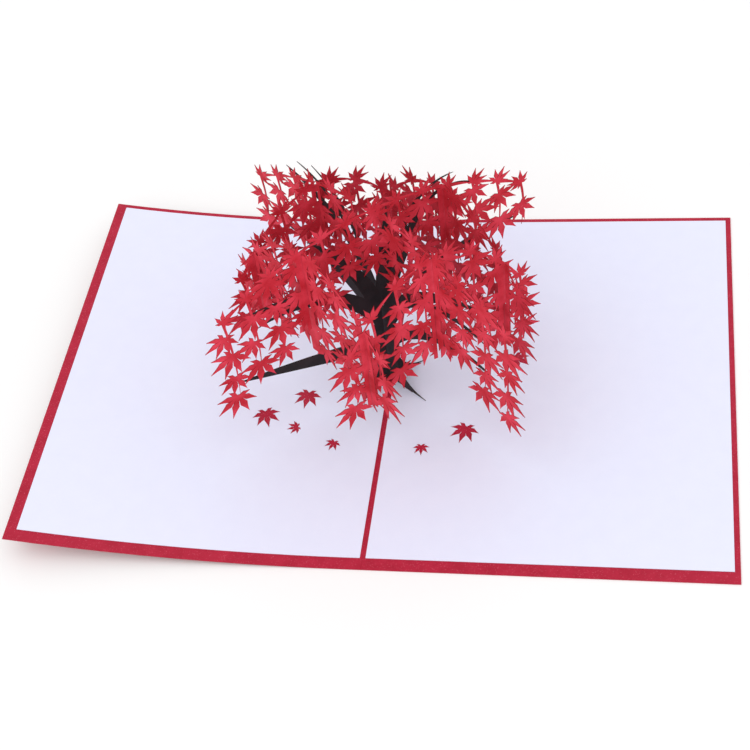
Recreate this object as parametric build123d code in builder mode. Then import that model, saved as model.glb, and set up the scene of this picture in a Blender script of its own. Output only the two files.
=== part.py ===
"""Pop-up card: a folded cover, two glued pages and a slotted lattice of paper sheets that stands up as a maple tree.

Millimetres. The origin is on the surface that the card lies on, at the middle of the fold.
+X runs from the fold over the right panel, +Y to the back edge, +Z up.
"""

from build123d import *
import math
import os
import random

os.makedirs("parts", exist_ok=True)

# ---- Cover: one sheet of card, scored and folded once, lying open
left_panel = 151.2
right_panel = 148.8
card_height = 200.0
cover_thickness = 0.5
flat_beside_fold = 6.0
left_panel_curl = 10.5
score_depth = 0.2
score_radius = 0.6

# ---- Pages: two white sheets glued inside the cover
page_width = 145.3
page_height = 192.4
page_thickness = 0.25
page_to_fold = 1.2
page_back_margin = 2.3
glue_line = 0.05

# ---- Lattice: three sheets one way and three the other, crossing at upright lines
sheet_angle = 37.5
sheet_spacing = 32.4
sheet_thickness = 0.3
sheet_overhang = 14.0
tree_lean = 3.0
slot_clearance = 0.25
lap_clearance = 0.05
side_lap_height = 69.0
corner_lap_height = 52.0
trunk_lap_height = 48.0
stem_bow = 0.6

# ---- Canopy and leaves
tree_height = 104.0
canopy_radius = 76.0
side_top_height = 97.0
side_top_drop = 44.0
arm_top_height = 103.0
arm_top_drop = 27.0
leaf_length = 13.0
leaf_width = 3.5
young_leaf_share = 0.82
small_leaf_share = 0.58
leaf_pitch_across = 12.0
leaf_pitch_up = 12.5
spine_width = 5.0
stem_width = 1.1

# Heights of the lowest leaves: over the middle of a side sheet, at a sheet's ends, beside the trunk
low_middle = 46.0
low_front_end = 31.0
low_right_end = 24.0
low_arm_end = 20.0
low_side_end = 43.0
low_crown_front = 31.0
low_crown_back = 54.0
low_beside_trunk = 76.0

# ---- Trunk and its feet
trunk_width = 10.0
root_spread = 17.0
root_height = 16.0
foot_distance = 10.0
foot_width = 6.0
foot_depth = 1.2
foot_clearance = 0.2
seat_clearance = 0.08

# ---- Leaf windows in the pages
window_leaf_width = 4.0

# Worked out from the sizes above
curl_radius = (left_panel - flat_beside_fold) / math.radians(left_panel_curl)
page_bottom = cover_thickness + glue_line
page_top = page_bottom + page_thickness
page_centre_y = card_height / 2 - page_back_margin - page_height / 2
lean = math.radians(tree_lean)
angle = math.radians(sheet_angle)
crossing_angle = math.radians(2 * sheet_angle)
laminate = 2 * sheet_thickness
slant_width = laminate * (1 + math.cos(crossing_angle)) / math.sin(crossing_angle)
slot_width = slant_width + sheet_thickness + 2 * slot_clearance
foot_line_slope = math.cos(angle) * math.tan(lean)
beyond = 3 * tree_height

# The tree's own axes: it leans over the right panel because the left one lifts
tree_x = Vector(math.cos(lean), 0, -math.sin(lean))
tree_y = Vector(0, 1, 0)
tree_z = Vector(math.sin(lean), 0, math.cos(lean))


def sheet_plane(azimuth, centre=(0, 0), offset=0.0):
    """Upright plane of a lattice sheet: its X runs level along the sheet, its Y up the tree."""
    along = tree_x * math.cos(azimuth) + tree_y * math.sin(azimuth)
    facing = tree_x * math.sin(azimuth) - tree_y * math.cos(azimuth)
    origin = Vector(0, 0, page_top) + tree_x * centre[0] + tree_y * centre[1] + facing * offset
    return Plane(origin=origin, x_dir=along, z_dir=facing)


def at(radius_share, height_share):
    """Point of a trunk sheet, as shares of the canopy's radius and the tree's height."""
    return (radius_share * canopy_radius, height_share * tree_height)


# ------------------------------------------------------------------ leaf and branch outlines

# Lobes of one maple leaf: direction from the tip lobe, length and width as shares
leaf_lobes = ((0, 1.0, 1.0), (36, 0.94, 0.97), (-36, 0.94, 0.97), (74, 0.74, 0.88), (-74, 0.74, 0.88),
              (116, 0.42, 0.66), (-116, 0.42, 0.66))


def leaf_outline(length, width):
    """A leaf whose lobes spread from its stem at the origin, its tip lobe along +X.

    Narrow slits part the lobes from the hub out, and each lobe draws in to a long thin tip.
    """
    with BuildSketch(mode=Mode.PRIVATE) as outline:
        for direction, length_share, width_share in leaf_lobes:
            tip = length * length_share
            back = -0.08 * tip
            half = width * width_share / 2
            with BuildLine(Plane.XY.rotated((0, 0, direction))):
                ThreePointArc((back, 0), (0.25 * tip, 0.55 * half), (0.5 * tip, half))
                ThreePointArc((0.5 * tip, half), (0.75 * tip, 0.4 * half), (tip, 0))
                ThreePointArc((tip, 0), (0.75 * tip, -0.4 * half), (0.5 * tip, -half))
                ThreePointArc((0.5 * tip, -half), (0.25 * tip, -0.55 * half), (back, 0))
            make_face()
    return outline.sketch


leaf = leaf_outline(leaf_length, leaf_width)
young_leaf = leaf_outline(young_leaf_share * leaf_length, young_leaf_share * leaf_width)
small_leaf = leaf_outline(small_leaf_share * leaf_length, small_leaf_share * leaf_width)


def tapered(start, middle, end, width):
    """Crescent from a wide start to a pointed end, for a branch or a stem."""
    run = Vector(*end) - Vector(*start)
    across = Vector(-run.Y, run.X) * (width / (2 * run.length))
    left_start = Vector(*start) + across
    right_start = Vector(*start) - across
    with BuildSketch(mode=Mode.PRIVATE) as outline:
        with BuildLine():
            ThreePointArc(left_start, Vector(*middle) + across * 0.7, Vector(*end))
            ThreePointArc(Vector(*end), Vector(*middle) - across * 0.7, right_start)
            Line(right_start, left_start)
        make_face()
    return outline.sketch


def slot(position, low, high):
    """Upright slot across a crossing line."""
    with BuildSketch(mode=Mode.PRIVATE) as outline:
        with Locations((position, (low + high) / 2)):
            Rectangle(slot_width, high - low)
    return outline.sketch


# ------------------------------------------------------------------ leaf sheets

class LeafSheet:
    """Flat outline of one red sheet: leaves hung in columns, with plain spines at its crossing lines."""

    def __init__(self, start, end, top, low, spines, seed):
        self.start = start
        self.end = end
        self.top = top
        self.low = low
        self.spines = spines
        self.random = random.Random(seed)

    def columns(self):
        """Stations along the sheet, evenly spaced and about a leaf's pitch apart."""
        count = max(2, round((self.end - self.start) / leaf_pitch_across))
        step = (self.end - self.start) / count
        return [self.start + step * index for index in range(count + 1)]

    def leaf_places(self):
        """Where the leaves' stems meet the sheet, and which way their tips hang."""
        places = []
        middle = (self.start + self.end) / 2
        half = (self.end - self.start) / 2
        for index, station in enumerate(self.columns()):
            height = self.low(station) + (index % 2) * leaf_pitch_up / 2
            while height <= self.top(station):
                x = station + self.random.uniform(-0.12, 0.12) * leaf_pitch_across
                y = height + self.random.uniform(-0.1, 0.1) * leaf_pitch_up
                splay = 26 * (station - middle) / half
                places.append(Location((x, y), -90 + splay + self.random.uniform(-20, 20)))
                height += leaf_pitch_up
        return places

    def crown_places(self):
        """Small leaves that point up and out along the sheet's upper edge."""
        places = []
        for station in self.columns():
            tilt = self.random.uniform(35, 145)
            places.append(Location((station, self.top(station)), tilt))
        return places

    def stems(self):
        """One thin stem up each column, and one through the columns' tops."""
        stems = []
        columns = self.columns()
        for station in columns:
            low = (station, self.low(station))
            high = (station, self.top(station))
            if high[1] - low[1] > leaf_pitch_up / 2:
                middle = (station + 0.1 * leaf_pitch_across, (low[1] + high[1]) / 2)
                stems.append(tapered(high, middle, low, stem_width))
        for station, beyond_station in zip(columns, columns[1:]):
            ends = ((station, self.top(station)), (beyond_station, self.top(beyond_station)))
            middle = ((ends[0][0] + ends[1][0]) / 2, (ends[0][1] + ends[1][1]) / 2 + stem_bow)
            stems.append(tapered(ends[0], middle, ends[1], 1.6 * stem_width))
        return stems

    def outline(self, cuts):
        """The whole sheet, with its slots cut."""
        with BuildSketch(mode=Mode.PRIVATE) as sheet:
            places = self.leaf_places()
            with Locations(*places[0::2]):
                add(leaf)
            with Locations(*places[1::2]):
                add(young_leaf)
            with Locations(*self.crown_places()):
                add(small_leaf)
            add(self.stems())
            for position in self.spines:
                low = self.low(position) - 0.5 * leaf_length
                high = self.top(position)
                with Locations((position, (low + high) / 2)):
                    Rectangle(spine_width, high - low)
            add(cuts, mode=Mode.SUBTRACT)
        # Lobe tips that the slots cut off fall out with the waste
        return sheet.sketch.faces().sort_by(SortBy.AREA)[-1]


def crossing_spans(outline, position):
    """Heights between which a trunk sheet crosses an upright line."""
    with BuildSketch(mode=Mode.PRIVATE) as crossing:
        with Locations((position, 0)):
            Rectangle(slot_width, beyond)
        add(outline, mode=Mode.INTERSECT)
    boxes = [face.bounding_box() for face in crossing.sketch.faces()]
    return [(box.min.Y - slot_clearance, box.max.Y + slot_clearance) for box in boxes]


# ------------------------------------------------------------------ cover

with BuildPart() as cover:
    with BuildSketch(Plane.XZ) as cover_profile:
        with BuildLine():
            bottom = Line((right_panel, 0), (-flat_beside_fold, 0))
            curl = CenterArc((-flat_beside_fold, curl_radius), curl_radius, 270, -left_panel_curl)
            inner_curl = CenterArc((-flat_beside_fold, curl_radius), curl_radius - cover_thickness, 270,
                                   -left_panel_curl)
            Line(curl @ 1, inner_curl @ 1)
            Line(inner_curl @ 0, (right_panel, cover_thickness))
            Line((right_panel, cover_thickness), (right_panel, 0))
        make_face()
        with Locations((0, cover_thickness - score_depth + score_radius)):
            Circle(score_radius, mode=Mode.SUBTRACT)
    extrude(amount=card_height / 2, both=True)
cover.part.label = "cover"

# ------------------------------------------------------------------ trunk sheets, drawn flat


def trunk_sheet(branches, left_root, right_root, slope):
    """Trunk with roots, two feet and the given branches, its base following the pages."""
    half = trunk_width / 2
    neck = 0.5 * tree_height
    with BuildSketch(mode=Mode.PRIVATE) as sheet:
        with BuildLine():
            base_left = (-left_root, seat_clearance - left_root * slope)
            base_right = (right_root, seat_clearance + right_root * slope)
            Line(base_left, base_right)
            ThreePointArc(base_right, (0.5 * right_root, 0.3 * root_height), (half, root_height))
            Line((half, root_height), (half, neck))
            Line((half, neck), (-half, neck))
            Line((-half, neck), (-half, root_height))
            ThreePointArc((-half, root_height), (-0.5 * left_root, 0.3 * root_height), base_left)
        make_face()
        for start, middle, end, width in branches:
            add(tapered(at(*start), at(*middle), at(*end), width))
        for side in (-1, 1):
            foot_bottom = (side * foot_distance + foot_width / 2) * slope - page_thickness
            with Locations((side * foot_distance, foot_bottom + foot_depth / 2)):
                Rectangle(foot_width, foot_depth)
    return sheet.sketch


rising_branches = (
    ((-0.03, 0.24), (-0.46, 0.335), (-0.92, 0.42), 9.0),
    ((-0.03, 0.40), (-0.40, 0.68), (-0.78, 0.75), 8.0),
    ((-0.33, 0.63), (-0.54, 0.675), (-0.74, 0.66), 3.4),
    ((-0.03, 0.46), (-0.16, 0.74), (-0.38, 0.98), 7.0),
    ((0.03, 0.34), (0.40, 0.55), (0.90, 0.60), 8.0),
    ((0.03, 0.42), (0.15, 0.74), (0.33, 0.89), 8.5),
    ((0.20, 0.79), (0.36, 0.92), (0.66, 0.86), 2.6),
    ((0.18, 0.76), (0.28, 0.94), (0.50, 0.99), 2.6),
    ((0.0, 0.46), (0.05, 0.76), (0.09, 0.98), 7.5),
)
falling_branches = (
    ((0.03, 0.25), (0.37, 0.47), (0.84, 0.47), 8.0),
    ((0.03, 0.40), (0.34, 0.68), (0.80, 0.82), 8.0),
    ((0.22, 0.58), (0.50, 0.67), (0.78, 0.64), 4.0),
    ((0.03, 0.42), (0.14, 0.72), (0.30, 0.96), 7.0),
    ((-0.03, 0.34), (-0.40, 0.52), (-0.86, 0.58), 8.0),
    ((-0.03, 0.42), (-0.24, 0.77), (-0.66, 0.94), 8.0),
    ((-0.18, 0.70), (-0.33, 0.92), (-0.56, 1.0), 2.6),
    ((-0.12, 0.62), (-0.22, 0.90), (-0.44, 1.03), 2.8),
)
rising_outline = trunk_sheet(rising_branches, root_spread, root_spread, foot_line_slope)
falling_outline = trunk_sheet(falling_branches, root_spread, 1.25 * root_spread, foot_line_slope)

with BuildPart() as rising_trunk:
    with BuildSketch(sheet_plane(angle, offset=-sheet_thickness / 2)):
        add(rising_outline)
        add(slot(0, -beyond, trunk_lap_height + lap_clearance), mode=Mode.SUBTRACT)
    extrude(amount=sheet_thickness)
rising_trunk.part.label = "rising_trunk"

with BuildPart() as falling_trunk:
    with BuildSketch(sheet_plane(-angle, offset=-sheet_thickness / 2)):
        add(falling_outline)
        add(slot(0, trunk_lap_height - lap_clearance, beyond), mode=Mode.SUBTRACT)
    extrude(amount=sheet_thickness)
falling_trunk.part.label = "falling_trunk"

# ------------------------------------------------------------------ pages

# Leaf-shaped windows that show the cover: place, size as a share of a leaf, direction of the tip
left_windows = (
    ((-38.0, -29.0), 0.42, 200), ((-20.7, -36.3), 0.42, 250), ((-16.8, 36.7), 0.42, 100),
    ((-36.2, -9.9), 0.72, 265), ((-53.8, -21.6), 0.72, 290),
)
right_windows = (
    ((17.5, -37.4), 0.42, 275), ((35.9, -26.8), 0.72, 255), ((54.0, 13.5), 0.72, 285),
)


def page_cuts(windows, side):
    """Leaf windows and foot slits of one page, drawn on the level."""
    with BuildSketch(mode=Mode.PRIVATE) as cuts:
        for place, share, direction in windows:
            with Locations(Location(place, direction)):
                add(leaf_outline(share * leaf_length, share * window_leaf_width))
        for turn in (sheet_angle, -sheet_angle):
            place = Vector(side * foot_distance, 0).rotate(Axis.Z, turn)
            with Locations(Location((place.X, place.Y), turn)):
                Rectangle(foot_width + 2 * foot_clearance, sheet_thickness + 2 * foot_clearance)
    return cuts.sketch


with BuildPart() as left_page:
    with BuildSketch(Plane.XZ.offset(-page_centre_y)):
        with BuildLine():
            centre = (-flat_beside_fold, curl_radius)
            page_sweep = math.degrees((page_to_fold + page_width - flat_beside_fold) / curl_radius)
            under = CenterArc(centre, curl_radius - page_bottom, 270, -page_sweep)
            over = CenterArc(centre, curl_radius - page_top, 270, -page_sweep)
            Line(under @ 1, over @ 1)
            Line(over @ 0, (-page_to_fold, page_top))
            Line((-page_to_fold, page_top), (-page_to_fold, page_bottom))
            Line((-page_to_fold, page_bottom), under @ 0)
        make_face()
    extrude(amount=page_height / 2, both=True)
    with BuildSketch():
        add(page_cuts(left_windows, -1))
    extrude(amount=curl_radius, mode=Mode.SUBTRACT)
left_page.part.label = "left_page"

with BuildPart() as right_page:
    with BuildSketch(Plane.XY.offset(page_bottom)):
        with Locations((page_to_fold + page_width / 2, page_centre_y)):
            Rectangle(page_width, page_height)
        add(page_cuts(right_windows, 1), mode=Mode.SUBTRACT)
    extrude(amount=page_thickness)
right_page.part.label = "right_page"

# ------------------------------------------------------------------ side sheets: the outer diamond

side_half = sheet_spacing + sheet_overhang
side_reach = side_half - 0.5 * leaf_length


def side_top(station):
    """Upper edge of a side sheet, highest at its middle."""
    return side_top_height - side_top_drop * (station / side_half) ** 2


def side_low(start_end, finish_end):
    """Lowest leaves of a side sheet, from one end over the middle to the other."""
    def low(station):
        share = abs(station) / side_half
        end = start_end if station < 0 else finish_end
        return low_middle + (end - low_middle) * share ** 1.5
    return low


def side_cuts(lap_open_up, branch_spans):
    """Slots where a side sheet meets its two neighbours and one trunk sheet."""
    cuts = []
    for corner in (-sheet_spacing, sheet_spacing):
        if lap_open_up:
            cuts.append(slot(corner, corner_lap_height - lap_clearance, beyond))
        else:
            cuts.append(slot(corner, -beyond, corner_lap_height + lap_clearance))
    if lap_open_up:
        cuts.append(slot(0, side_lap_height - lap_clearance, beyond))
    else:
        cuts.append(slot(0, -beyond, side_lap_height + lap_clearance))
    for low, high in branch_spans:
        cuts.append(slot(0, low, high))
    return cuts


def side_outline(low, lap_open_up, trunk_outline, trunk_station, seed):
    """Flat outline of a side sheet crossed by the given trunk sheet."""
    spines = (-sheet_spacing, 0, sheet_spacing)
    sheet = LeafSheet(-side_reach, side_reach, side_top, low, spines, seed)
    return sheet.outline(side_cuts(lap_open_up, crossing_spans(trunk_outline, trunk_station)))


along_rising = (sheet_spacing * math.cos(angle), sheet_spacing * math.sin(angle))
along_falling = (sheet_spacing * math.cos(angle), -sheet_spacing * math.sin(angle))
opposite_rising = (-along_rising[0], -along_rising[1])
opposite_falling = (-along_falling[0], -along_falling[1])

with BuildPart() as front_left_leaves:
    with BuildSketch(sheet_plane(-angle, opposite_rising, -sheet_thickness / 2)):
        add(side_outline(side_low(low_side_end, low_front_end), True, rising_outline, -sheet_spacing, 11))
    extrude(amount=sheet_thickness)
front_left_leaves.part.label = "front_left_leaves"

with BuildPart() as back_right_leaves:
    with BuildSketch(sheet_plane(-angle, along_rising, -sheet_thickness / 2)):
        add(side_outline(side_low(low_side_end, low_right_end), True, rising_outline, sheet_spacing, 12))
    extrude(amount=sheet_thickness)
back_right_leaves.part.label = "back_right_leaves"

with BuildPart() as front_right_leaves:
    with BuildSketch(sheet_plane(angle, along_falling, -sheet_thickness / 2)):
        add(side_outline(side_low(low_front_end, low_right_end), False, falling_outline, sheet_spacing, 13))
    extrude(amount=sheet_thickness)
front_right_leaves.part.label = "front_right_leaves"

with BuildPart() as back_left_leaves:
    with BuildSketch(sheet_plane(angle, opposite_falling, -sheet_thickness / 2)):
        add(side_outline(side_low(low_side_end, low_side_end), False, falling_outline, -sheet_spacing, 14))
    extrude(amount=sheet_thickness)
back_left_leaves.part.label = "back_left_leaves"

# ------------------------------------------------------------------ leaf sheets glued to the trunk sheets


def arm_top(station):
    """Upper edge of the leaves on a trunk sheet."""
    return arm_top_height - arm_top_drop * (station / canopy_radius) ** 2


def arm_low(start_end, finish_end):
    """Lowest leaves on a trunk sheet: high beside the trunk, lower at the branches' ends."""
    def low(station):
        share = min(1, abs(station) / canopy_radius)
        end = start_end if station < 0 else finish_end
        return low_beside_trunk + (end - low_beside_trunk) * share ** 1.3
    return low


def arm_slots(positions, lap_open_up):
    """Slots where the leaves on a trunk sheet pass the side sheets."""
    if lap_open_up:
        return [slot(position, side_lap_height - lap_clearance, beyond) for position in positions]
    return [slot(position, -beyond, side_lap_height + lap_clearance) for position in positions]


arm_reach = canopy_radius - 0.5 * leaf_length
arm_root = trunk_width + 2 * laminate

with BuildPart() as crown_leaves:
    with BuildSketch(sheet_plane(angle, offset=sheet_thickness / 2)):
        sheet = LeafSheet(-arm_reach, arm_reach, arm_top, arm_low(low_crown_front, low_crown_back),
                          (-sheet_spacing, sheet_spacing), 21)
        add(sheet.outline(arm_slots((-sheet_spacing, sheet_spacing), False)))
    extrude(amount=sheet_thickness)
crown_leaves.part.label = "crown_leaves"

with BuildPart() as right_arm_leaves:
    with BuildSketch(sheet_plane(-angle, offset=sheet_thickness / 2)):
        sheet = LeafSheet(arm_root, arm_reach, arm_top, arm_low(low_crown_back, low_arm_end),
                          (sheet_spacing,), 22)
        add(sheet.outline(arm_slots((sheet_spacing,), True)))
    extrude(amount=sheet_thickness)
right_arm_leaves.part.label = "right_arm_leaves"

with BuildPart() as left_arm_leaves:
    with BuildSketch(sheet_plane(-angle, offset=sheet_thickness / 2)):
        sheet = LeafSheet(-arm_reach, -arm_root, arm_top, arm_low(low_crown_back, low_arm_end),
                          (-sheet_spacing,), 23)
        add(sheet.outline(arm_slots((-sheet_spacing,), True)))
    extrude(amount=sheet_thickness)
left_arm_leaves.part.label = "left_arm_leaves"

# ------------------------------------------------------------------ files

export_step(cover.part, "parts/cover.step")
export_step(left_page.part, "parts/left_page.step")
export_step(right_page.part, "parts/right_page.step")
export_step(rising_trunk.part, "parts/rising_trunk.step")
export_step(falling_trunk.part, "parts/falling_trunk.step")
export_step(front_left_leaves.part, "parts/front_left_leaves.step")
export_step(front_right_leaves.part, "parts/front_right_leaves.step")
export_step(back_left_leaves.part, "parts/back_left_leaves.step")
export_step(back_right_leaves.part, "parts/back_right_leaves.step")
export_step(crown_leaves.part, "parts/crown_leaves.step")
export_step(left_arm_leaves.part, "parts/left_arm_leaves.step")
export_step(right_arm_leaves.part, "parts/right_arm_leaves.step")
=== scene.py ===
"""Looks of an open pop-up card: pearl cover, white pages and a maple tree of slotted paper sheets.

Everything is in metres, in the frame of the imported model: the fold of the cover runs along Y
through the origin, the flat right panel lies along +X and the tree stands up along +Z.
"""

import logging
import math
from dataclasses import dataclass
from enum import Enum

import bpy
from mathutils import Matrix, Vector

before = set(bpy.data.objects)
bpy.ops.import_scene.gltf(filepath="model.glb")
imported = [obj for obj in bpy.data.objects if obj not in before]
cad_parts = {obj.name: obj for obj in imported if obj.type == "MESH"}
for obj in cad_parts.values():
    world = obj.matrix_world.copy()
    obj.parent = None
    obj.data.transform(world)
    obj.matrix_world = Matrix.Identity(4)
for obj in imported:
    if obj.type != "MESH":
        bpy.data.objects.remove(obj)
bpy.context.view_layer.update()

Colour = tuple[float, float, float]
Point = tuple[float, float, float]

Range = tuple[float, float]

WHOLE: Range = (0.0, 1.0)

# How square to a sheet's normal a face is at most where it is cut, and at least where it is broad
CUT_TO_BROAD: Range = (0.5, 0.7)

# Spread of the noise and of the fibres' height, which the finishes stretch to a full range
MOTTLE_SPREAD: Range = (0.35, 0.65)
HEIGHT_SPREAD: Range = (0.3, 0.7)
PATCH_SPREAD: Range = (0.4, 0.66)

log = logging.getLogger("pop_up_card")


# ------------------------------------------------------------------ small helpers


def rgba(colour: Colour) -> tuple[float, float, float, float]:
    """Colour with full alpha, as sockets take it."""
    return (*colour, 1.0)


class Nodes:
    """A node tree with short calls to add and link nodes."""

    def __init__(self, tree: bpy.types.NodeTree) -> None:
        """Keeps the tree that nodes are added to."""
        self.tree = tree

    def add(self, kind: str, **settings: object) -> bpy.types.Node:
        """Adds one node.

        Args:
            kind: Blender's name of the node type.
            settings: attributes set on the node.

        Returns:
            The new node.
        """
        node = self.tree.nodes.new(kind)
        for name, value in settings.items():
            setattr(node, name, value)
        return node

    def link(self, source: bpy.types.NodeSocket, target: bpy.types.NodeSocket) -> None:
        """Links an output to an input."""
        self.tree.links.new(source, target)

    def feed(self, target: bpy.types.NodeSocket, value: object) -> None:
        """Links a socket to the target, or sets a plain value on it."""
        if isinstance(value, bpy.types.NodeSocket):
            self.link(value, target)
        else:
            target.default_value = value

    def math(self, operation: str, first: object, second: object = 0.5) -> bpy.types.NodeSocket:
        """One arithmetic step.

        Args:
            operation: Blender's name of the step.
            first: a socket or a number.
            second: a socket or a number.

        Returns:
            The result's socket.
        """
        node = self.add("ShaderNodeMath", operation=operation)
        self.feed(node.inputs[0], first)
        self.feed(node.inputs[1], second)
        return node.outputs[0]

    def remap(self, value: object, source: Range, target: Range) -> bpy.types.NodeSocket:
        """Stretches one range of a value over another, clamped.

        Args:
            value: the socket to stretch.
            source: the two values that become the target's two.
            target: the two results.

        Returns:
            The result's socket.
        """
        node = self.add("ShaderNodeMapRange", clamp=True)
        self.feed(node.inputs["Value"], value)
        node.inputs["From Min"].default_value, node.inputs["From Max"].default_value = source
        node.inputs["To Min"].default_value, node.inputs["To Max"].default_value = target
        return node.outputs["Result"]

    def weigh(self, weight: float, first: object, second: object) -> bpy.types.NodeSocket:
        """Adds two values, the first by its weight and the second by what is left of 1."""
        rest = self.math("MULTIPLY", second, 1 - weight)
        return self.math("ADD", self.math("MULTIPLY", first, weight), rest)

    def blend(self, share: object, first: object, second: object) -> bpy.types.NodeSocket:
        """Mixes two colours.

        Args:
            share: 0 gives the first colour and 1 the second.
            first: a colour or a socket.
            second: a colour or a socket.

        Returns:
            The mixed colour's socket.
        """
        node = self.add("ShaderNodeMix", data_type="RGBA")
        self.feed(node.inputs[0], share)
        self.feed(node.inputs[6], first)
        self.feed(node.inputs[7], second)
        return node.outputs[2]

    def noise(self, vector: bpy.types.NodeSocket, scale: object, detail: float) -> bpy.types.NodeSocket:
        """Soft noise.

        Args:
            vector: place to read it at.
            scale: waves in a metre.
            detail: number of finer layers.

        Returns:
            The noise's value.
        """
        node = self.add("ShaderNodeTexNoise")
        self.link(vector, node.inputs["Vector"])
        self.feed(node.inputs["Scale"], scale)
        node.inputs["Detail"].default_value = detail
        return node.outputs["Fac"]


# ------------------------------------------------------------------ effects that the finishes share


class Effect(Enum):
    """Shader node groups, by their name in the file."""

    FIBRE = "paper_fibre"
    GLITTER = "pearl_glitter"
    CUT_EDGE = "cut_edge"


@dataclass(frozen=True)
class FibrePattern:
    """Matted fibres: clouds and strands, coarser than the fine fibres by a share of their scale."""

    cloud_scale: float = 0.12
    cloud_detail: float = 2.0
    cloud_weight: float = 0.6
    fine_detail: float = 4.0
    fine_weight: float = 0.7
    strand_scale: float = 0.35
    strand_distortion: float = 14.0
    strand_detail: float = 3.0
    strand_detail_scale: float = 2.4


@dataclass(frozen=True)
class FlakePattern:
    """Pigment flakes: their size as a share of a cell, and how bright the faintest and brightest are; that
    brightness is painted glint, for flakes catching the light.
    """

    radius: float = 0.45
    brightness: Range = (0.35, 1.0)


class SharedEffects:
    """The node groups that more than one material uses, each built once."""

    def __init__(self) -> None:
        """Builds all the groups."""
        self.groups: dict[Effect, bpy.types.NodeTree] = {
            Effect.FIBRE: self.fibre(),
            Effect.GLITTER: self.glitter(),
            Effect.CUT_EDGE: self.cut_edge(),
        }

    @staticmethod
    def group(
        effect: Effect, inputs: dict[str, tuple[str, object]], outputs: dict[str, str],
    ) -> bpy.types.NodeTree:
        """Starts a group with its sockets.

        Args:
            effect: which group it is.
            inputs: socket type and default value by name.
            outputs: socket type by name.

        Returns:
            The new group, holding only its input and output nodes.
        """
        tree = bpy.data.node_groups.new(effect.value, "ShaderNodeTree")
        for name, (kind, value) in inputs.items():
            socket = tree.interface.new_socket(name=name, in_out="INPUT", socket_type=kind)
            if value is not None:
                socket.default_value = value
        for name, kind in outputs.items():
            tree.interface.new_socket(name=name, in_out="OUTPUT", socket_type=kind)
        tree.nodes.new("NodeGroupInput").name = "in"
        tree.nodes.new("NodeGroupOutput").name = "out"
        return tree

    def fibre(self) -> bpy.types.NodeTree:
        """Matted paper fibres.

        Returns:
            Group that puts out a mottling mask and a height.
        """
        tree = self.group(
            Effect.FIBRE,
            {"Vector": ("NodeSocketVector", None), "Scale": ("NodeSocketFloat", 1000.0)},
            {"Mottle": "NodeSocketFloat", "Height": "NodeSocketFloat"},
        )
        nodes = Nodes(tree)
        source = tree.nodes["in"].outputs
        target = tree.nodes["out"].inputs
        pattern = FibrePattern()
        scale = source["Scale"]
        cloud_scale = nodes.math("MULTIPLY", scale, pattern.cloud_scale)
        clouds = nodes.noise(source["Vector"], cloud_scale, pattern.cloud_detail)
        fine = nodes.noise(source["Vector"], scale, pattern.fine_detail)
        strands = nodes.add("ShaderNodeTexWave", wave_type="BANDS", bands_direction="DIAGONAL")
        nodes.link(source["Vector"], strands.inputs["Vector"])
        nodes.feed(strands.inputs["Scale"], nodes.math("MULTIPLY", scale, pattern.strand_scale))
        strands.inputs["Distortion"].default_value = pattern.strand_distortion
        strands.inputs["Detail"].default_value = pattern.strand_detail
        strands.inputs["Detail Scale"].default_value = pattern.strand_detail_scale
        mottle = nodes.weigh(pattern.cloud_weight, clouds, fine)
        height = nodes.weigh(pattern.fine_weight, fine, strands.outputs["Fac"])
        nodes.link(mottle, target["Mottle"])
        nodes.link(height, target["Height"])
        return tree

    def glitter(self) -> bpy.types.NodeTree:
        """Scattered bright flakes of pearl pigment: real flakes, their brightness painted glint.

        Returns:
            Group that puts out a mask of flakes.
        """
        tree = self.group(
            Effect.GLITTER,
            {"Vector": ("NodeSocketVector", None), "Scale": ("NodeSocketFloat", 3000.0),
             "Amount": ("NodeSocketFloat", 0.1)},
            {"Flakes": "NodeSocketFloat"},
        )
        nodes = Nodes(tree)
        source = tree.nodes["in"].outputs
        target = tree.nodes["out"].inputs
        pattern = FlakePattern()
        cells = nodes.add("ShaderNodeTexVoronoi", feature="F1")
        nodes.link(source["Vector"], cells.inputs["Vector"])
        nodes.link(source["Scale"], cells.inputs["Scale"])
        parts = nodes.add("ShaderNodeSeparateColor")
        nodes.link(cells.outputs["Color"], parts.inputs["Color"])
        chosen = nodes.math("LESS_THAN", parts.outputs["Red"], source["Amount"])
        middle = nodes.math("LESS_THAN", cells.outputs["Distance"], pattern.radius)
        # The flakes' random brightness is painted glint, for flakes that catch the light
        brightness = nodes.remap(parts.outputs["Green"], WHOLE, pattern.brightness)
        bright = nodes.math("MULTIPLY", chosen, brightness)
        nodes.link(nodes.math("MULTIPLY", bright, middle), target["Flakes"])
        return tree

    def cut_edge(self) -> bpy.types.NodeTree:
        """The narrow cut faces round a sheet, told from its broad faces by their normal.

        Returns:
            Group that puts out 1 on a cut face and 0 on a broad face.
        """
        tree = self.group(
            Effect.CUT_EDGE,
            {"Facing": ("NodeSocketVector", None)},
            {"Edge": "NodeSocketFloat"},
        )
        nodes = Nodes(tree)
        source = tree.nodes["in"].outputs
        geometry = nodes.add("ShaderNodeNewGeometry")
        product = nodes.add("ShaderNodeVectorMath", operation="DOT_PRODUCT")
        nodes.link(geometry.outputs["True Normal"], product.inputs[0])
        nodes.link(source["Facing"], product.inputs[1])
        across = nodes.math("ABSOLUTE", product.outputs["Value"])
        nodes.link(nodes.remap(across, CUT_TO_BROAD, (1.0, 0.0)), tree.nodes["out"].inputs["Edge"])
        return tree

    def place(self, nodes: Nodes, effect: Effect, **values: object) -> bpy.types.Node:
        """Puts a group into a material.

        Args:
            nodes: the material's nodes.
            effect: which group.
            values: number or socket for each named input.

        Returns:
            The group's node.
        """
        node = nodes.add("ShaderNodeGroup", node_tree=self.groups[effect])
        for name, value in values.items():
            nodes.feed(node.inputs[name], value)
        return node


# ------------------------------------------------------------------ finishes


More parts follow.
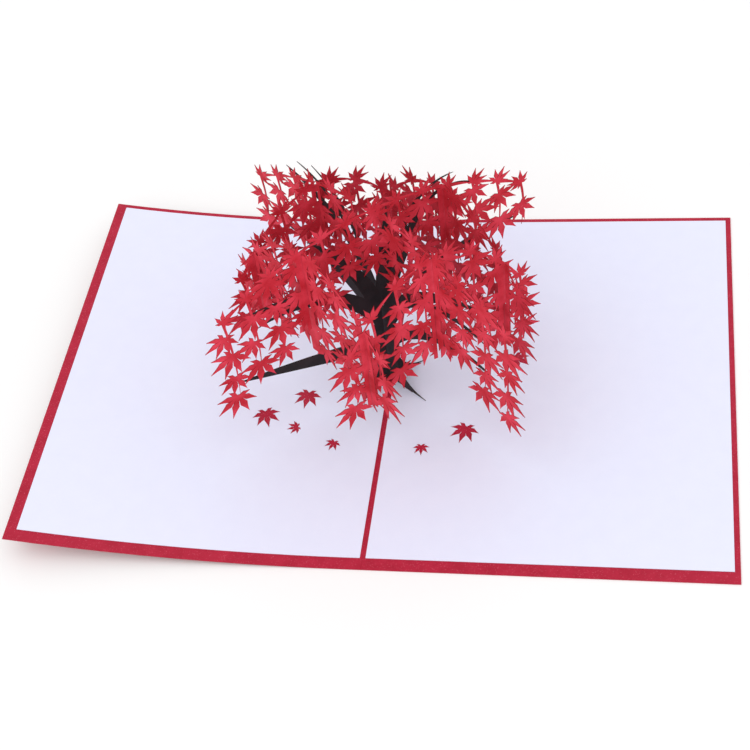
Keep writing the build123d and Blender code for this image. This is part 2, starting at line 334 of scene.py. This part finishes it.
@dataclass(frozen=True)
class Finish:
    """What all the finishes share: a name, a colour, the roughness and the strength of the shine."""

    name: str
    base: Colour
    roughness: float
    specular: float

    def start(self) -> tuple[bpy.types.Material, Nodes, bpy.types.Node, bpy.types.NodeSocket]:
        """Starts a material.

        Returns:
            The material, its nodes, its Principled shader and the piece's own coordinates.
        """
        material = bpy.data.materials.new(self.name)
        material.use_nodes = True
        material.diffuse_color = rgba(self.base)
        nodes = Nodes(material.node_tree)
        shader = material.node_tree.nodes["Principled BSDF"]
        shader.inputs["Roughness"].default_value = self.roughness
        shader.inputs["Specular IOR Level"].default_value = self.specular
        place = nodes.add("ShaderNodeTexCoord").outputs["Object"]
        return material, nodes, shader, place

    @staticmethod
    def bump(nodes: Nodes, shader: bpy.types.Node, height: bpy.types.NodeSocket, depth: float) -> None:
        """Feeds a height through a Bump node into the shader's normal.

        Args:
            nodes: the material's nodes.
            shader: the Principled shader.
            height: the height, 0 to 1.
            depth: metres that a height of 1 stands for.
        """
        node = nodes.add("ShaderNodeBump")
        node.inputs["Strength"].default_value = 1.0
        node.inputs["Distance"].default_value = depth
        nodes.link(height, node.inputs["Height"])
        nodes.link(node.outputs["Normal"], shader.inputs["Normal"])


@dataclass(frozen=True)
class PearlCard(Finish):
    """Thick card with pearl pigment and fine glitter; the flakes are lighter specks in the colour, real
    flakes with painted glint.
    """

    shade: Colour
    flake_and_glint_colour: Colour
    fibre_scale: float
    flake_scale: float
    flake_amount: float
    flake_roughness: float
    coat: float
    coat_roughness: float
    grain_depth: float

    def material(self, effects: SharedEffects) -> bpy.types.Material:
        """Builds the material.

        Args:
            effects: the shared node groups.

        Returns:
            The finished material.
        """
        material, nodes, shader, place = self.start()
        fibre = effects.place(nodes, Effect.FIBRE, Vector=place, Scale=self.fibre_scale)
        glitter = effects.place(
            nodes, Effect.GLITTER, Vector=place, Scale=self.flake_scale, Amount=self.flake_amount,
        )
        grain = nodes.remap(fibre.outputs["Mottle"], MOTTLE_SPREAD, WHOLE)
        body = nodes.blend(grain, rgba(self.shade), rgba(self.base))
        # Flakes mixed into the colour as lighter specks: real pigment flakes, with painted glint
        colour = nodes.blend(glitter.outputs["Flakes"], body, rgba(self.flake_and_glint_colour))
        nodes.link(colour, shader.inputs["Base Color"])
        rough = nodes.remap(glitter.outputs["Flakes"], WHOLE, (self.roughness, self.flake_roughness))
        nodes.link(rough, shader.inputs["Roughness"])
        shader.inputs["Coat Weight"].default_value = self.coat
        shader.inputs["Coat Roughness"].default_value = self.coat_roughness
        lifted = nodes.math("ADD", fibre.outputs["Height"], glitter.outputs["Flakes"])
        self.bump(nodes, shader, lifted, self.grain_depth)
        return material


@dataclass(frozen=True)
class PagePaper(Finish):
    """Smooth white sheet with a faint tooth."""

    shade: Colour
    fibre_scale: float
    roughness_spread: Range
    tooth_depth: float

    def material(self, effects: SharedEffects) -> bpy.types.Material:
        """Builds the material.

        Args:
            effects: the shared node groups.

        Returns:
            The finished material.
        """
        material, nodes, shader, place = self.start()
        fibre = effects.place(nodes, Effect.FIBRE, Vector=place, Scale=self.fibre_scale)
        mottle = nodes.remap(fibre.outputs["Mottle"], MOTTLE_SPREAD, WHOLE)
        nodes.link(nodes.blend(mottle, rgba(self.shade), rgba(self.base)), shader.inputs["Base Color"])
        rough = nodes.remap(fibre.outputs["Height"], HEIGHT_SPREAD, self.roughness_spread)
        nodes.link(rough, shader.inputs["Roughness"])
        self.bump(nodes, shader, fibre.outputs["Height"], self.tooth_depth)
        return material


@dataclass(frozen=True)
class CutPaper(Finish):
    """Coloured paper cut by a laser: mottled faces, lighter areas at random and singed cut edges; on the red
    leaves the pink areas are painted light, for lit leaves.
    """

    # Colour of the lighter areas; on the leaves this pink is painted light, standing in for lit leaves
    light: Colour
    singed: Colour
    fibre_scale: float
    patch_scale: float
    patch_detail: float
    patch_weight: float
    roughness_spread: Range
    sheen: float
    grain_depth: float

    def material(self, effects: SharedEffects, facing: Vector) -> bpy.types.Material:
        """Builds the material for sheets that face one way.

        Args:
            effects: the shared node groups.
            facing: unit normal of the sheets' broad faces.

        Returns:
            The finished material.
        """
        material, nodes, shader, place = self.start()
        fibre = effects.place(nodes, Effect.FIBRE, Vector=place, Scale=self.fibre_scale)
        edge = effects.place(nodes, Effect.CUT_EDGE, Facing=tuple(facing))
        # Lighter areas at random over the broad faces; on the leaves they are painted light, pink for lit
        # leaves, mixed with the fibre mottle
        cloud = nodes.noise(place, self.patch_scale, self.patch_detail)
        tone_and_painted_light_mask = nodes.remap(cloud, PATCH_SPREAD, (0.0, self.patch_weight))
        grain = nodes.remap(fibre.outputs["Mottle"], MOTTLE_SPREAD, (0.0, 1 - self.patch_weight))
        face = nodes.blend(nodes.math("ADD", tone_and_painted_light_mask, grain), rgba(self.base), rgba(self.light))
        colour = nodes.blend(edge.outputs["Edge"], face, rgba(self.singed))
        nodes.link(colour, shader.inputs["Base Color"])
        rough = nodes.remap(fibre.outputs["Height"], HEIGHT_SPREAD, self.roughness_spread)
        nodes.link(rough, shader.inputs["Roughness"])
        shader.inputs["Sheen Weight"].default_value = self.sheen
        self.bump(nodes, shader, fibre.outputs["Height"], self.grain_depth)
        return material


# ------------------------------------------------------------------ the card


@dataclass
class CardBase:
    """The folded cover and the two pages glued inside it."""

    effects: SharedEffects
    cover_finish: PearlCard
    page_finish: PagePaper

    def dress(self) -> list[str]:
        """Gives the cover and the pages their materials.

        Returns:
            The names of the pieces that were dressed.
        """
        finishes = {
            "cover": self.cover_finish.material(self.effects),
            "left_page": self.page_finish.material(self.effects),
        }
        finishes["right_page"] = finishes["left_page"]
        for name, material in finishes.items():
            dress_node(name, material)
        return list(finishes)


def dress_node(name: str, material: bpy.types.Material) -> None:
    """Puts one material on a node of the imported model.

    Args:
        name: the node.
        material: its material.
    """
    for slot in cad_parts[name].material_slots:
        slot.material = material


@dataclass
class MapleTree:
    """The lattice of slotted sheets: two trunks and the leaf sheets."""

    effects: SharedEffects
    trunk_finish: CutPaper
    leaf_finish: CutPaper
    sheet_angle: float = math.radians(37.5)
    lean: float = math.radians(3.0)
    rising: tuple[str, ...] = (
        "rising_trunk", "crown_leaves", "front_right_leaves", "back_left_leaves",
    )
    falling: tuple[str, ...] = (
        "falling_trunk", "right_arm_leaves", "left_arm_leaves", "front_left_leaves", "back_right_leaves",
    )

    def facing(self, azimuth: float) -> Vector:
        """Unit normal of the sheets that run along one azimuth."""
        upright = Vector((math.sin(azimuth), -math.cos(azimuth), 0))
        return Matrix.Rotation(self.lean, 3, "Y") @ upright

    def dress(self) -> list[str]:
        """Gives each sheet its paper.

        Returns:
            The names of the pieces that were dressed.
        """
        dressed = []
        for azimuth, names in ((self.sheet_angle, self.rising), (-self.sheet_angle, self.falling)):
            facing = self.facing(azimuth)
            leaf = self.leaf_finish.material(self.effects, facing)
            trunk = self.trunk_finish.material(self.effects, facing)
            for name in names:
                dress_node(name, trunk if name.endswith("trunk") else leaf)
                dressed.append(name)
        return dressed


# ------------------------------------------------------------------ floor, light and camera


@dataclass
class Studio:
    """Plain pale floor, soft light all round and the camera."""

    camera_place: Point = (0.1169, -0.4041, 0.4921)
    camera_turn: tuple[float, float, float] = (40.14, 8.06, 7.65)
    lens: float = 69.68
    sensor_width: float = 36.0
    clip: Range = (0.01, 20.0)
    floor_size: float = 8.0
    floor_paint: Finish = Finish("floor_paint", base=(0.93, 0.93, 0.93), roughness=0.9, specular=0.5)
    surround: float = 0.94
    surround_colour: Colour = (1.0, 1.0, 1.0)
    key_place: Point = (-0.15, -0.75, 1.5)
    key_aim: Point = (0.0, 0.0, 0.04)
    key_size: float = 2.2
    key_power: float = 9.0

    def build_floor(self) -> bpy.types.Object:
        """Makes the floor, just under the card.

        Returns:
            The floor.
        """
        bpy.ops.mesh.primitive_plane_add(size=self.floor_size, location=(0, 0, 0))
        floor = bpy.context.object
        floor.name = "floor"
        material, _, shader, _ = self.floor_paint.start()
        shader.inputs["Base Color"].default_value = rgba(self.floor_paint.base)
        floor.data.materials.append(material)
        return floor

    def build_lights(self) -> None:
        """Makes the surround and one large soft lamp."""
        world = bpy.data.worlds.new("soft_surround")
        world.use_nodes = True
        background = world.node_tree.nodes["Background"]
        background.inputs["Color"].default_value = rgba(self.surround_colour)
        background.inputs["Strength"].default_value = self.surround
        bpy.context.scene.world = world
        bpy.ops.object.light_add(type="AREA", location=self.key_place)
        lamp = bpy.context.object
        lamp.name = "key_lamp"
        lamp.data.size = self.key_size
        lamp.data.energy = self.key_power
        aim = Vector(self.key_aim) - Vector(self.key_place)
        lamp.rotation_euler = aim.to_track_quat("-Z", "Y").to_euler()

    def build_camera(self) -> bpy.types.Object:
        """Makes the camera and makes it the scene's.

        Returns:
            The camera.
        """
        turn = tuple(math.radians(angle) for angle in self.camera_turn)
        bpy.ops.object.camera_add(location=self.camera_place, rotation=turn)
        camera = bpy.context.object
        camera.name = "camera"
        camera.data.lens = self.lens
        camera.data.sensor_width = self.sensor_width
        camera.data.clip_start, camera.data.clip_end = self.clip
        bpy.context.scene.camera = camera
        return camera

    def build(self) -> None:
        """Makes everything and sets how brightness is shown."""
        self.build_floor()
        self.build_lights()
        self.build_camera()
        bpy.context.scene.view_settings.view_transform = "Standard"


# ------------------------------------------------------------------ finishes of this card

# The cover's flakes colour is partly painted glint, lighter specks for flakes catching the light
COVER_CARD = PearlCard(
    name="cover_card", base=(0.47, 0.014, 0.046), roughness=0.55, specular=0.2, shade=(0.39, 0.008, 0.032),
    flake_and_glint_colour=(0.72, 0.14, 0.2), fibre_scale=1400.0, flake_scale=3600.0, flake_amount=0.07, flake_roughness=0.35,
    coat=0.05, coat_roughness=0.45, grain_depth=0.00003,
)
PAGE_PAPER = PagePaper(
    name="page_paper", base=(0.785, 0.805, 0.965), roughness=0.88, specular=0.3, shade=(0.77, 0.79, 0.955),
    fibre_scale=1100.0, roughness_spread=(0.82, 0.92), tooth_depth=0.000012,
)
TRUNK_CARD = CutPaper(
    name="trunk_card", base=(0.012, 0.009, 0.011), roughness=0.7, specular=0.15, light=(0.032, 0.022, 0.026),
    singed=(0.02, 0.011, 0.009), fibre_scale=1500.0, patch_scale=120.0, patch_detail=2.0, patch_weight=0.65,
    roughness_spread=(0.62, 0.75), sheen=0.04, grain_depth=0.00003,
)
# The leaf paper's pink lighter colour is painted light, standing in for lit leaves
LEAF_CARD = CutPaper(
    name="leaf_card", base=(0.50, 0.008, 0.020), roughness=0.7, specular=0.15, light=(0.80, 0.055, 0.095),
    singed=(0.30, 0.008, 0.015), fibre_scale=1500.0, patch_scale=95.0, patch_detail=2.0, patch_weight=0.65,
    roughness_spread=(0.62, 0.75), sheen=0.04, grain_depth=0.00003,
)


def main() -> None:
    """Builds and dresses everything in order."""
    logging.basicConfig(level=logging.INFO, format="%(name)s: %(message)s")
    effects = SharedEffects()
    assemblies = (
        CardBase(effects, COVER_CARD, PAGE_PAPER),
        MapleTree(effects, TRUNK_CARD, LEAF_CARD),
    )
    for assembly in assemblies:
        for name in assembly.dress():
            log.info("%s dressed", name)
    Studio().build()
    log.info("floor, lights and camera made")


if __name__ == "__main__":
    main()
